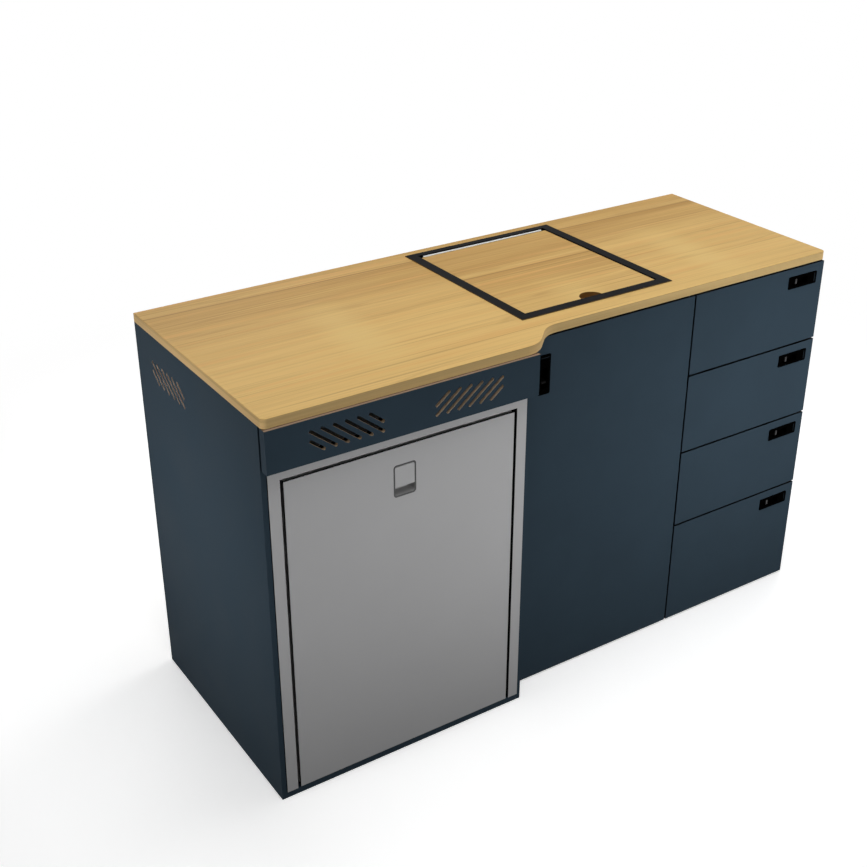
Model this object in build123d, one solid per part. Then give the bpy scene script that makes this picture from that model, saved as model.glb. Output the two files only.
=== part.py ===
from build123d import *
import math
import os

# Campervan kitchen pod: a fridge housing on the left, a cupboard with a lidded sink
# above it in the middle, and four drawers on the right, under one worktop.
# Millimetres. X runs along the length to the right, Y from front to back, Z up.
# The origin is on the floor, under the middle of the outer box.

# Carcass
carcass_depth = 526.0
carcass_height = 803.0
board = 18.0
base_board = 15.0
back_board = 6.0
housing_width = 561.0
cupboard_width = 444.0
drawer_bay_width = 373.0
setback = 65.0
front_standoff = 6.8
front_gap = 4.0
edge_round = 0.8
cut_overrun = 1.0

# Worktop
worktop_thickness = 18.0
worktop_overhang = 17.5
worktop_corner_radius = 10.0
worktop_edge_round = 1.2
step_radius = 60.0
step_angle = 45.0
step_place = 33.0

# Vent slots
vent_width = 141.2
vent_height = 39.2
vent_slope = 0.8
vent_pitch = 23.4
vent_slot_width = 6.0
vent_slot_count = 7
valance_height = 82.5
valance_vent_place = 125.5
valance_vent_drop = 42.2
side_vent_back = 147.2
side_vent_drop = 75.0

# Rails, shelf and fixings
rail_width = 60.0
rear_rail_height = 80.0
cupboard_rail_height = 38.0
shelf_height = 380.0
shelf_front_inset = 30.0
clip_radius = 6.0
clip_top_drop = 16.0
clip_bottom_rise = 14.0
screw_radius = 2.0
screw_head_radius = 4.0
screw_head_height = 2.4
screw_grip = 12.0
screw_clearance = 0.1
screw_end_inset = 60.0
floor_hole_radius = 4.25
floor_hole_inset_x = 30.0
floor_hole_inset_y = 95.0

# Sink, its trim frame and lid
lid_width = 330.0
lid_thickness = 18.0
lid_gap = 1.5
lid_middle_shift = 7.5
lid_front_inset = 69.3
lid_back_inset = 47.0
frame_raise = 2.0
frame_rail = 22.0
frame_back_rail = 15.0
frame_wall = 2.0
frame_ledge = 10.0
frame_cutout_gap = 1.0
notch_radius = 26.0
notch_depth = 12.0
hinge_room = 10.0
hinge_leaf = 1.2
hinge_leaf_height = 13.0
hinge_barrel_radius = 2.9
hinge_pin_radius = 1.5
hinge_pin_drop = 1.0
hinge_tab = 1.2
hinge_knuckles = 9
hinge_end_gap = 8.0
hinge_knuckle_gap = 0.4
running_gap = 0.05
bowl_depth = 130.0
bowl_wall = 1.5
bowl_corner_radius = 40.0
bowl_floor_radius = 18.0
waste_hole_radius = 20.0
waste_flange_radius = 30.0
waste_flange = 2.0
waste_spigot_radius = 12.5
waste_spigot_length = 60.0
waste_wall = 2.5
waste_nut_radius = 26.0
waste_nut = 8.0

# Cupboard door and its pivots
door_pivot_side = 10.0
door_pivot_front = 9.0
pivot_plate = 2.5
pivot_leg = 1.5
pivot_plate_half = 11.0
pivot_pin_radius = 3.0
pivot_pin_length = 14.0
pivot_foot_height = 12.0
pivot_floor_gap = 0.8

# Drawers
lower_front_height = 248.1
drawer_count = 4
drawer_back_gap = 31.8
drawer_board = 12.0
drawer_floor = 6.0
drawer_floor_rise = 6.0
drawer_top_drop = 52.0
drawer_bottom_rise = 18.0
runner_thickness = 12.7
runner_height = 35.0
runner_sheet = 1.5
runner_front_gap = 10.0
runner_end_gap = 13.2
slide_gap = 0.3

# Slide-bolt latches
latch_length = 84.0
latch_width = 28.0
latch_corner = 3.0
latch_bezel = 1.5
latch_margin = 5.0
latch_body_width = 20.0
latch_body_depth = 44.0
latch_wall = 2.0
latch_fit = 0.3
latch_window_start = 12.0
latch_window_end = 56.0
latch_floor_depth = 14.0
latch_groove_place = 72.0
latch_groove = 1.2
latch_groove_depth = 0.5
latch_tab_place = 22.0
latch_tab = 5.0
latch_tab_width = 12.0
latch_tab_sunk = 0.5
latch_travel = 10.0
latch_slot_gap = 0.5
latch_bar = 4.0
latch_bolt_width = 10.0
latch_bolt_depth = 8.0
latch_bolt_length = 33.0
latch_bolt_back_gap = 4.0
latch_tip_inset = 0.5
drawer_latch_side = 20.4
drawer_latch_drop = 17.6
door_latch_side = 44.0
door_latch_drop = 36.0
strike_plate = 1.2
strike_hole_gap = 1.0
strike_margin = 8.0
strike_front_inset = 1.0
bolt_pocket_depth = 10.0

# Fridge cabinet
fridge_side_gap = 4.0
flange_overlap = 7.8
flange_rail = 23.3
flange_thickness = 3.7
fridge_door_gap = 4.8
flange_top_gap = 4.4
fridge_floor_gap = 1.4
fridge_top_step = 4.0
cooling_room = 123.7
fridge_sheet = 1.2
fridge_wall = 40.0
fridge_back_wall = 50.0
liner_sheet = 2.0
rib_height = 3.0
rib_reach = 6.0
fridge_shelf = 4.0
fridge_shelf_count = 2
fridge_shelf_bar = 8.0
fridge_shelf_slot = 14.0
fridge_shelf_front_room = 81.0
evaporator_width = 300.0
evaporator_height = 150.0
evaporator_thickness = 8.0
evaporator_top_gap = 30.0

# Fridge door
fridge_door_thickness = 36.0
fridge_skin = 3.0
fridge_skin_corner = 2.0
core_inset = 2.0
core_bottom_step = 5.6
seal_thickness = 3.7
seal_width = 12.0
seal_gap = 0.3
fridge_pivot_side = 7.0
fridge_pivot_front = 8.7
fridge_bracket = 2.6
fridge_boss_radius = 5.0
fridge_arm_side = 3.0
fridge_pin_length = 8.0
rack_inset = 10.0
rack_depth = 45.0
rack_height = 60.0
rack_wall = 2.5
rack_rise = 60.0
rack_count = 2

# Fridge handle
handle_width = 47.0
handle_height = 65.2
handle_drop = 36.4
handle_corner = 6.0
handle_wall = 2.5
handle_depth = 26.0
handle_fit = 0.3
flap_height = 42.0
flap_thickness = 3.0
flap_gap = 0.4
flap_top_gap = 1.2
flap_pin_radius = 1.5
flap_pin_drop = 3.5
flap_pin_reach = 1.5
flap_arm = 5.0

# Cooling unit
condenser_gap = 12.0
condenser_sheet = 0.8
condenser_tube_radius = 2.4
condenser_pitch = 45.0
condenser_side_inset = 45.0
condenser_top_drop = 60.0
condenser_bottom_room = 130.0
condenser_edge = 20.0
condenser_foot = 10.0
compressor_radius = 45.0
compressor_height = 105.0
compressor_round = 22.0
compressor_plate = 3.0
compressor_plate_length = 130.0
compressor_foot_radius = 7.0
compressor_foot = 10.0
compressor_foot_inset = 14.0
compressor_stub = 20.0
compressor_back_gap = 14.0

# Planes and places that follow from the sizes above
overall_length = housing_width + cupboard_width + drawer_bay_width
total_depth = carcass_depth + front_standoff + board
x_left = -overall_length / 2
x_right = overall_length / 2
y_housing = front_standoff + board - total_depth / 2
y_back = y_housing + carcass_depth
y_carcass = y_housing + setback
y_front = y_carcass - front_standoff - board
y_front_back = y_carcass - front_standoff
y_valance = y_housing - front_standoff - board
y_flange = y_housing - flange_thickness
z_top = carcass_height + worktop_thickness
x_housing = x_left + housing_width
x_middle_gap = x_housing + cupboard_width
x_bay_left = x_middle_gap + board / 2
x_bay_right = x_right - board
y_back_panel = y_back - back_board
z_fronts_top = carcass_height - front_gap
z_fronts_bottom = front_gap
housing_middle = x_left + housing_width / 2
upper_count = drawer_count - 1
upper_fronts_room = z_fronts_top - z_fronts_bottom - lower_front_height
upper_front_height = upper_fronts_room / upper_count - front_gap
drawer_length = y_back_panel - y_front_back - drawer_back_gap


def block(x0, x1, y0, y1, z0, z1):
    """A box between two corners."""
    size = Box(x1 - x0, y1 - y0, z1 - z0)
    return Pos((x0 + x1) / 2, (y0 + y1) / 2, (z0 + z1) / 2) * size


def rounded_block(x0, x1, y0, y1, z0, z1, radius=edge_round):
    """A board whose front edges are eased."""
    solid = block(x0, x1, y0, y1, z0, z1)
    return fillet(solid.faces().sort_by(Axis.Y)[0].edges(), radius)


def upright_rod(x, y, z0, z1, radius):
    """A cylinder along Z."""
    return Pos(x, y, (z0 + z1) / 2) * Cylinder(radius, z1 - z0)


def length_rod(y, z, x0, x1, radius):
    """A cylinder along X."""
    return Pos((x0 + x1) / 2, y, z) * Rot(Y=90) * Cylinder(radius, x1 - x0)


def depth_rod(x, z, y0, y1, radius):
    """A cylinder along Y."""
    return Pos(x, (y0 + y1) / 2, z) * Rot(X=90) * Cylinder(radius, y1 - y0)


def cut_all(solid, tools):
    """Take each tool out of a solid."""
    for tool in tools:
        solid = solid - tool
    return solid


def save(name, *solids):
    """Write one named node."""
    shape = solids[0] if len(solids) == 1 else Compound(children=list(solids))
    export_step(shape, f"parts/{name}.step")


# Vents

def vent_slots(face, thickness):
    """Slanted round-ended slots, cut off at the sides of the vent's outline."""
    slots = []
    rise_run = vent_height / vent_slope
    for number in range(vent_slot_count):
        foot = (number - 1) * vent_pitch
        u0 = max(0, foot)
        u1 = min(vent_width, foot + rise_run)
        w0 = (u0 - foot) * vent_slope
        w1 = (u1 - foot) * vent_slope
        span = math.hypot(u1 - u0, w1 - w0)
        middle = Pos((u0 + u1 - vent_width) / 2, (w0 + w1 - vent_height) / 2)
        turn = Rot(Z=math.degrees(math.atan(vent_slope)))
        outline = face * middle * turn * SlotCenterToCenter(span, vent_slot_width)
        slots.append(extrude(outline, thickness + cut_overrun, both=True))
    return slots


# Boards

def left_side_panel():
    panel = block(x_left, x_left + board, y_housing, y_back, 0, carcass_height)
    face = Plane(
        origin=(x_left, y_back - side_vent_back, carcass_height - side_vent_drop),
        x_dir=(0, 1, 0),
        z_dir=(1, 0, 0),
    )
    return cut_all(panel, vent_slots(face, board))


def fridge_divider():
    x0 = x_housing - board
    return block(x0, x_housing, y_housing, y_back, base_board, carcass_height)


def centre_divider():
    x0 = x_bay_left - board
    return block(x0, x_bay_left, y_carcass, y_back_panel, base_board, carcass_height)


def right_side_panel():
    panel = block(x_bay_right, x_right, y_carcass, y_back, 0, carcass_height)
    for number in range(drawer_count):
        panel = panel - drawer_bolt_pocket(number, x_bay_right, bolt_pocket_depth)
    return panel


def base_panel():
    panel = block(x_left + board, x_housing, y_housing, y_back, 0, base_board)
    panel = panel + block(x_housing, x_bay_right, y_carcass, y_back, 0, base_board)
    for x in floor_hole_columns():
        for y in floor_hole_rows():
            hole = upright_rod(x, y, -cut_overrun, base_board + cut_overrun, floor_hole_radius)
            panel = panel - hole
    return panel


def floor_hole_columns():
    return (x_housing + floor_hole_inset_x, x_bay_left - board - floor_hole_inset_x)


def floor_hole_rows():
    return (y_carcass + floor_hole_inset_y, y_back_panel - floor_hole_inset_y)


def back_panel():
    return block(x_housing, x_bay_right, y_back_panel, y_back, base_board, carcass_height)


def cupboard_shelf():
    y0 = y_carcass + shelf_front_inset
    x1 = x_bay_left - board
    return block(x_housing, x1, y0, y_back_panel, shelf_height, shelf_height + board)


def carcass_rails():
    """Stretchers that tie the uprights together under the worktop."""
    top = carcass_height
    x0 = x_left + board
    x1 = x_housing - board
    front = block(x0, x1, y_housing, y_housing + rail_width, top - board, top)
    rear = block(x0, x1, y_back - board, y_back, top - rear_rail_height, top)
    x2 = x_bay_left - board
    y1 = y_carcass + board
    cupboard = block(x_housing, x2, y_carcass, y1, top - cupboard_rail_height, top)
    cupboard = cupboard - door_bolt_pocket(top - cupboard_rail_height, bolt_pocket_depth)
    drawers = block(x_bay_left, x_bay_right, y_carcass, y1, top - board, top)
    rails = []
    for rail in (front, rear, cupboard, drawers):
        rails.append(cut_all(rail, screw_holes()))
    return rails


def worktop_screw_places():
    """Each screw's place in plan and the height of the rail face that its head is on."""
    top = carcass_height
    front_y = y_housing + rail_width / 2
    rear_y = y_back - board / 2
    bay_y = y_carcass + board / 2
    x0 = x_left + board + screw_end_inset
    x1 = x_housing - board - screw_end_inset
    x2 = x_bay_left + screw_end_inset
    x3 = x_bay_right - screw_end_inset
    return [
        (x0, front_y, top - board),
        (x1, front_y, top - board),
        (x0, rear_y, top - rear_rail_height),
        (x1, rear_y, top - rear_rail_height),
        (x2, bay_y, top - board),
        (x3, bay_y, top - board),
    ]


def screw_holes():
    radius = screw_radius + screw_clearance
    top = carcass_height + screw_grip + screw_clearance
    holes = []
    for x, y, z in worktop_screw_places():
        holes.append(upright_rod(x, y, z - cut_overrun, top, radius))
    return holes


def worktop_screws():
    screws = []
    for x, y, z in worktop_screw_places():
        head = upright_rod(x, y, z - screw_head_height, z, screw_head_radius)
        screws.append(head + upright_rod(x, y, z, carcass_height + screw_grip, screw_radius))
    return screws


def worktop():
    y_near = y_housing - worktop_overhang
    rise = y_front - y_near
    run = rise / math.tan(math.radians(step_angle))
    x_step = x_housing + step_place
    corners = [
        (x_left, y_back),
        (x_left, y_near),
        (x_step - run / 2, y_near),
        (x_step + run / 2, y_front),
        (x_right, y_front),
        (x_right, y_back),
    ]
    radii = [worktop_corner_radius, step_radius, step_radius, worktop_corner_radius]
    edge = FilletPolyline(*corners, radius=radii) + Line(corners[-1], corners[0])
    outline = Pos(0, 0, carcass_height) * make_face(edge)
    top = extrude(outline, worktop_thickness)
    top = fillet(top.faces().sort_by(Axis.Z)[-1].edges(), worktop_edge_round)
    return cut_all(top, [frame_cutout()] + screw_holes())


def vent_valance():
    z0 = carcass_height - valance_height
    panel = block(x_left, x_housing, y_valance, y_valance + board, z0, carcass_height)
    z = carcass_height - valance_vent_drop
    right = Plane(origin=(housing_middle + valance_vent_place, y_valance, z),
                  x_dir=(1, 0, 0), z_dir=(0, -1, 0))
    left = Plane(origin=(housing_middle - valance_vent_place, y_valance, z),
                 x_dir=(-1, 0, 0), z_dir=(0, 1, 0))
    return cut_all(panel, vent_slots(right, board) + vent_slots(left, board))


def valance_clips():
    clips = []
    z_low = carcass_height - valance_height + clip_bottom_rise
    for x in (x_left + board / 2, x_housing - board / 2):
        for z in (z_low, carcass_height - clip_top_drop):
            clips.append(depth_rod(x, z, y_valance + board, y_housing, clip_radius))
    return clips


# Sink and lid

lid_middle = x_housing + cupboard_width / 2 + lid_middle_shift
lid_x0 = lid_middle - lid_width / 2
lid_x1 = lid_middle + lid_width / 2
lid_y0 = y_front + lid_front_inset
lid_y1 = y_back - lid_back_inset
hole_x0 = lid_x0 - lid_gap
hole_x1 = lid_x1 + lid_gap
hole_y0 = lid_y0 - lid_gap
hole_y1 = lid_y1 + hinge_room
lid_bottom = z_top - lid_thickness
ledge_bottom = lid_bottom - frame_wall
bowl_x0 = hole_x0 + frame_ledge
bowl_x1 = hole_x1 - frame_ledge
bowl_y0 = hole_y0 + frame_ledge
bowl_y1 = hole_y1 - frame_ledge
bowl_rim = ledge_bottom - bowl_wall
bowl_bottom = bowl_rim - bowl_depth
bowl_middle_y = (bowl_y0 + bowl_y1) / 2
hinge_y = (lid_y1 + hole_y1) / 2
hinge_z = z_top - hinge_pin_drop


def frame_cutout():
    reach = frame_wall + frame_cutout_gap
    z0 = carcass_height - cut_overrun
    z1 = z_top + cut_overrun
    return block(hole_x0 - reach, hole_x1 + reach, hole_y0 - reach, hole_y1 + reach, z0, z1)


def lid_trim_frame():
    """Flat rim on the worktop, with a wall down the cut-out and a ledge for the lid."""
    rim = block(hole_x0 - frame_rail, hole_x1 + frame_rail, hole_y0 - frame_rail,
                hole_y1 + frame_back_rail, z_top, z_top + frame_raise)
    rim = fillet(rim.faces().sort_by(Axis.Z)[-1].edges(), frame_raise / 4)
    wall = block(hole_x0 - frame_wall, hole_x1 + frame_wall, hole_y0 - frame_wall,
                 hole_y1 + frame_wall, ledge_bottom, z_top)
    well = block(hole_x0, hole_x1, hole_y0, hole_y1, lid_bottom, z_top + frame_raise + cut_overrun)
    eye = block(bowl_x0, bowl_x1, bowl_y0, bowl_y1, ledge_bottom - cut_overrun, z_top)
    return rim + wall - well - eye


def sink_lid():
    lid = block(lid_x0, lid_x1, lid_y0, lid_y1, lid_bottom, z_top)
    lid = fillet(lid.faces().sort_by(Axis.Z)[-1].edges(), edge_round)
    notch = upright_rod(lid_middle, lid_y0, z_top - notch_depth, z_top + cut_overrun, notch_radius)
    return lid - notch


def hinge_knuckle_spans(parity):
    """The X spans of every other knuckle along the lid's back edge."""
    start = lid_x0 + hinge_end_gap
    pitch = (lid_width - 2 * hinge_end_gap) / hinge_knuckles
    spans = []
    for number in range(parity, hinge_knuckles, 2):
        x0 = start + number * pitch + hinge_knuckle_gap / 2
        spans.append((x0, x0 + pitch - hinge_knuckle_gap))
    return spans


def hinge_leaf_solid(parity, y_outer, y_inner):
    """A leaf with its knuckles: y_outer is the face it is screwed to."""
    x0 = lid_x0 + hinge_end_gap
    x1 = lid_x1 - hinge_end_gap
    z1 = hinge_z - hinge_barrel_radius + hinge_tab
    z0 = z1 - hinge_leaf_height
    leaf = block(x0, x1, min(y_outer, y_inner), max(y_outer, y_inner), z0, z1)
    bore = hinge_pin_radius + running_gap
    for a, b in hinge_knuckle_spans(parity):
        tab = block(a, b, min(y_inner, hinge_y), max(y_inner, hinge_y), z1 - hinge_tab, z1)
        knuckle = length_rod(hinge_y, hinge_z, a, b, hinge_barrel_radius)
        leaf = leaf + tab + knuckle
    return leaf - length_rod(hinge_y, hinge_z, x0 - cut_overrun, x1 + cut_overrun, bore)


def lid_hinge_fixed_leaf():
    leaf = hinge_leaf_solid(0, hole_y1, hole_y1 - hinge_leaf)
    x0 = lid_x0 + hinge_end_gap
    x1 = lid_x1 - hinge_end_gap
    pin = length_rod(hinge_y, hinge_z, x0, x1, hinge_pin_radius)
    return [leaf, pin]


def lid_hinge_moving_leaf():
    return hinge_leaf_solid(1, lid_y1, lid_y1 + hinge_leaf)


def sink_bowl():
    """Pressed bowl: a flat flange under the frame's ledge and a deep rounded basin."""
    flange = block(hole_x0 - frame_wall, hole_x1 + frame_wall, hole_y0 - frame_wall,
                   hole_y1 + frame_wall, bowl_rim, ledge_bottom)
    outer = basin(0, bowl_bottom, bowl_rim)
    inner = basin(bowl_wall, bowl_bottom + bowl_wall, ledge_bottom + cut_overrun)
    z0 = bowl_bottom - cut_overrun
    hole = upright_rod(lid_middle, bowl_middle_y, z0, bowl_rim, waste_hole_radius)
    return flange + outer - inner - hole


def basin(inset, z0, z1):
    """A tub with rounded corners and a rounded floor, drawn in by an inset."""
    tub = block(bowl_x0 + inset, bowl_x1 - inset, bowl_y0 + inset, bowl_y1 - inset, z0, z1)
    tub = fillet(tub.edges().filter_by(Axis.Z), bowl_corner_radius - inset)
    return fillet(tub.faces().sort_by(Axis.Z)[0].edges(), bowl_floor_radius - inset)


def sink_waste():
    """Strainer flange in the bowl, back nut under it and a hose spigot."""
    x = lid_middle
    y = bowl_middle_y
    floor = bowl_bottom + bowl_wall
    neck = waste_hole_radius - latch_fit
    flange = upright_rod(x, y, floor, floor + waste_flange, waste_flange_radius)
    body = upright_rod(x, y, bowl_bottom - waste_nut, floor, neck)
    nut = upright_rod(x, y, bowl_bottom - waste_nut, bowl_bottom, waste_nut_radius)
    end = bowl_bottom - waste_nut - waste_spigot_length
    spigot = upright_rod(x, y, end, bowl_bottom - waste_nut, waste_spigot_radius)
    bore = waste_spigot_radius - waste_wall
    way = upright_rod(x, y, end - cut_overrun, floor + waste_flange + cut_overrun, bore)
    return flange + body + nut + spigot - way


# Latches, built along local X with the bolt's end to the right and the front at Y zero

def latch_housing_solid():
    half = latch_width / 2
    bezel = block(0, latch_length, -latch_bezel, 0, -half, half)
    bezel = fillet(bezel.edges().filter_by(Axis.Y), latch_corner)
    bezel = fillet(bezel.faces().sort_by(Axis.Y)[0].edges(), latch_bezel / 3)
    x0 = latch_margin
    x1 = latch_length - latch_margin
    half_body = latch_body_width / 2
    body = block(x0, x1, 0, latch_body_depth, -half_body, half_body)
    inner = half_body - latch_wall
    room = block(x0 + latch_wall, x1 - latch_wall, 0, latch_body_depth - latch_wall, -inner, inner)
    floor_back = latch_floor_depth + latch_wall
    floor = block(x0, x1, latch_floor_depth, floor_back, -inner, inner)
    floor = floor - latch_tab_slot()
    window = block(latch_window_start, latch_window_end, -latch_bezel - cut_overrun, 0, -inner, inner)
    groove = block(latch_groove_place, latch_groove_place + latch_groove, -latch_bezel,
                   latch_groove_depth - latch_bezel, -inner, inner)
    return bezel + (body - room) + floor - window - groove - latch_bolt_way(x1)


def latch_tab_slot():
    x0 = latch_tab_place - latch_slot_gap
    x1 = latch_tab_place + latch_tab + latch_travel + latch_slot_gap
    half = latch_tab_width / 2 + latch_slot_gap
    return block(x0, x1, 0, latch_body_depth - latch_wall, -half, half)


def latch_bolt_span():
    """Depth of the bolt's front and back faces behind the front of the door or drawer."""
    back = latch_body_depth - latch_bolt_back_gap
    return back - latch_bolt_depth, back


def latch_bolt_way(x1):
    y0, y1 = latch_bolt_span()
    half = latch_bolt_width / 2 + latch_fit
    x0 = x1 - latch_wall - cut_overrun
    return block(x0, x1 + cut_overrun, y0 - latch_fit, y1 + latch_fit, -half, half)


def latch_slider_solid():
    """Finger tab, bar and bolt in one piece, shown slid back."""
    y0, y1 = latch_bolt_span()
    half = latch_bolt_width / 2
    tip = latch_length - latch_tip_inset
    bolt = block(tip - latch_bolt_length, tip, y0, y1, -half, half)
    bar = block(latch_tab_place, tip - latch_bolt_length + latch_bar, y0, y0 + latch_bar, -half, half)
    half_tab = latch_tab_width / 2
    tab = block(latch_tab_place, latch_tab_place + latch_tab, latch_tab_sunk, y0 + latch_bar,
                -half_tab, half_tab)
    tab = fillet(tab.faces().sort_by(Axis.Y)[0].edges(), latch_tab / 4)
    return bolt + bar + tab


def latch_cutout_solid():
    half = latch_body_width / 2 + latch_fit
    x0 = latch_margin - latch_fit
    x1 = latch_length - latch_margin + latch_fit
    return block(x0, x1, -cut_overrun, board + cut_overrun, -half, half)


def drawer_latch_place(number):
    z = front_top(number) - drawer_latch_drop - latch_width / 2
    return Pos(x_right - drawer_latch_side - latch_length, y_front, z)


def door_latch_place():
    x = x_housing + front_gap + door_latch_side + latch_width / 2
    z = z_fronts_top - door_latch_drop - latch_length
    return Pos(x, y_front, z) * Rot(Y=-90)


def bolt_hole(x0, x1):
    """The way for a bolt through a strike and into the board behind it."""
    y0, y1 = latch_bolt_span()
    half = latch_bolt_width / 2 + strike_hole_gap
    return block(x0, x1, y0 - strike_hole_gap, y1 + strike_hole_gap, -half, half)


def drawer_bolt_pocket(number, x_face, depth):
    place = drawer_latch_place(number)
    start = x_face - place.position.X
    return place * bolt_hole(start - cut_overrun, start + depth)


def door_bolt_pocket(z_face, depth):
    place = door_latch_place()
    start = z_face - place.position.Z
    return place * bolt_hole(start - cut_overrun, start + depth)


def strike_solid(start):
    """A strike plate whose back is on the board at start."""
    y0 = setback_depth() + strike_front_inset
    y1 = latch_bolt_span()[1] + strike_hole_gap + strike_front_inset
    half = latch_bolt_width / 2 + strike_hole_gap + strike_margin
    plate = block(start - strike_plate, start, y0, y1, -half, half)
    return plate - bolt_hole(start - strike_plate - cut_overrun, start + cut_overrun)


def setback_depth():
    """How far the carcass edge is behind the face of the fronts."""
    return board + front_standoff


def latch_strikes():
    strikes = []
    for number in range(drawer_count):
        place = drawer_latch_place(number)
        strikes.append(place * strike_solid(x_bay_right - place.position.X))
    place = door_latch_place()
    z = carcass_height - cupboard_rail_height
    strikes.append(place * strike_solid(z - place.position.Z))
    return strikes


# Drawers

def front_top(number):
    """Top of a drawer's front, counted from the top drawer."""
    return z_fronts_top - number * (upper_front_height + front_gap)


def front_bottom(number):
    last = number == drawer_count - 1
    return z_fronts_bottom if last else front_top(number) - upper_front_height


def drawer_front(number):
    x0 = x_middle_gap + front_gap / 2
    panel = rounded_block(x0, x_right, y_front, y_front_back, front_bottom(number), front_top(number))
    return panel - drawer_latch_place(number) * latch_cutout_solid()


def box_span(number):
    return front_bottom(number) + drawer_bottom_rise, front_top(number) - drawer_top_drop


def drawer_box(number):
    """Two sides, two ends and a floor."""
    z0, z1 = box_span(number)
    x0 = x_bay_left + runner_thickness
    x1 = x_bay_right - runner_thickness
    y0 = y_front_back
    y1 = y0 + drawer_length
    side = drawer_board
    left = block(x0, x0 + side, y0, y1, z0, z1)
    right = block(x1 - side, x1, y0, y1, z0, z1)
    near = block(x0 + side, x1 - side, y0, y0 + side, z0, z1)
    far = block(x0 + side, x1 - side, y1 - side, y1, z0, z1)
    floor_z = z0 + drawer_floor_rise
    floor = block(x0 + side, x1 - side, y0 + side, y1 - side, floor_z, floor_z + drawer_floor)
    return [left, right, near, far, floor]


def runner_middle(number):
    z0, z1 = box_span(number)
    return (z0 + z1) / 2


def runner_span():
    return y_carcass + runner_front_gap, y_front_back + drawer_length - runner_end_gap


def channel_solid(x_wall, direction, z):
    """A channel on a wall, open towards the drawer."""
    y0, y1 = runner_span()
    half = runner_height / 2
    reach = runner_thickness - slide_gap - runner_sheet
    x_far = x_wall + direction * reach
    low, high = sorted((x_wall, x_far))
    rail = block(low, high, y0, y1, z - half, z + half)
    low, high = sorted((x_wall + direction * runner_sheet, x_far + direction * cut_overrun))
    inner = half - runner_sheet
    return rail - block(low, high, y0 - cut_overrun, y1 + cut_overrun, z - inner, z + inner)


def runner_channels():
    channels = []
    for number in range(drawer_count):
        z = runner_middle(number)
        channels.append(channel_solid(x_bay_left, 1, z))
        channels.append(channel_solid(x_bay_right, -1, z))
    return channels


def drawer_slides(number):
    """The members on the drawer's sides that run in the channels."""
    y0, y1 = runner_span()
    z = runner_middle(number)
    half = runner_height / 2 - runner_sheet - slide_gap
    reach = runner_sheet + slide_gap
    x0 = x_bay_left + runner_thickness
    x1 = x_bay_right - runner_thickness
    left = block(x_bay_left + reach, x0, y0, y1, z - half, z + half)
    right = block(x1, x_bay_right - reach, y0, y1, z - half, z + half)
    return [left, right]


# Cupboard door

door_x0 = x_housing + front_gap
door_x1 = x_middle_gap - front_gap / 2
pivot_x = door_x1 - door_pivot_side
pivot_y = y_front + door_pivot_front


def cupboard_door():
    panel = rounded_block(door_x0, door_x1, y_front, y_front_back, z_fronts_bottom, z_fronts_top)
    radius = pivot_pin_radius + running_gap
    depth = pivot_pin_length + cut_overrun
    low = upright_rod(pivot_x, pivot_y, z_fronts_bottom - cut_overrun, z_fronts_bottom + depth, radius)
    high = upright_rod(pivot_x, pivot_y, z_fronts_top - depth, z_fronts_top + cut_overrun, radius)
    return panel - low - high - door_latch_place() * latch_cutout_solid()


def door_pivot_brackets():
    """A foot on the base board's edge and a plate under the worktop, each with a pin."""
    x0 = pivot_x - pivot_plate_half
    x1 = pivot_x + door_pivot_side
    y0 = pivot_y - door_pivot_front / 2
    z0 = pivot_floor_gap
    foot = block(x0, x1, y0, y_carcass, z0, z0 + pivot_plate)
    foot = foot + block(x0, x1, y_carcass - pivot_leg, y_carcass, z0, pivot_foot_height)
    foot = foot + upright_rod(pivot_x, pivot_y, z0, z_fronts_bottom + pivot_pin_length, pivot_pin_radius)
    z1 = carcass_height
    head = block(x0, x1, y0, y_carcass, z1 - pivot_plate, z1)
    head = head + upright_rod(pivot_x, pivot_y, z_fronts_top - pivot_pin_length, z1, pivot_pin_radius)
    return [foot, head]


# Fridge

flange_x0 = x_left + board - flange_overlap
flange_x1 = x_housing - board + flange_overlap
recess_x0 = flange_x0 + flange_rail
recess_x1 = flange_x1 - flange_rail
fridge_x0 = x_left + board + fridge_side_gap
fridge_x1 = x_housing - board - fridge_side_gap
fridge_bottom = base_board + fridge_floor_gap
flange_top = carcass_height - valance_height - flange_top_gap
recess_top = flange_top - flange_rail
fridge_door_top = recess_top - fridge_door_gap
fridge_top = flange_top - fridge_top_step
fd_x0 = recess_x0 + fridge_door_gap
fd_x1 = recess_x1 - fridge_door_gap
fd_back = y_flange + fridge_door_thickness
fridge_face = fd_back + seal_thickness + seal_gap
fridge_back = y_back - cooling_room
cold_x0 = fridge_x0 + fridge_wall
cold_x1 = fridge_x1 - fridge_wall
cold_z0 = base_board + fridge_wall
cold_z1 = fridge_top - fridge_wall
cold_back = fridge_back - fridge_back_wall
hinge_x = fd_x1 - fridge_pivot_side
hinge_front_y = y_flange + fridge_pivot_front
core_z0 = fridge_bottom + core_bottom_step
core_z1 = fridge_door_top - core_inset
core_x0 = fd_x0 + core_inset
core_x1 = fd_x1 - core_inset
skin_back = y_flange + fridge_skin
handle_top = fridge_door_top - handle_drop
handle_middle = (fd_x0 + fd_x1) / 2
fridge_shelf_y0 = fridge_face + fridge_shelf_front_room


def fridge_frame():
    """Flange on three sides, over the edges of the housing."""
    plate = block(flange_x0, flange_x1, y_flange, y_housing, fridge_bottom, flange_top)
    plate = fillet(plate.edges().filter_by(Axis.Y).sort_by(Axis.Z)[-2:], fridge_skin_corner)
    opening = block(recess_x0, recess_x1, y_flange - cut_overrun, y_housing + cut_overrun,
                    fridge_bottom - cut_overrun, recess_top)
    return plate - opening


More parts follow.
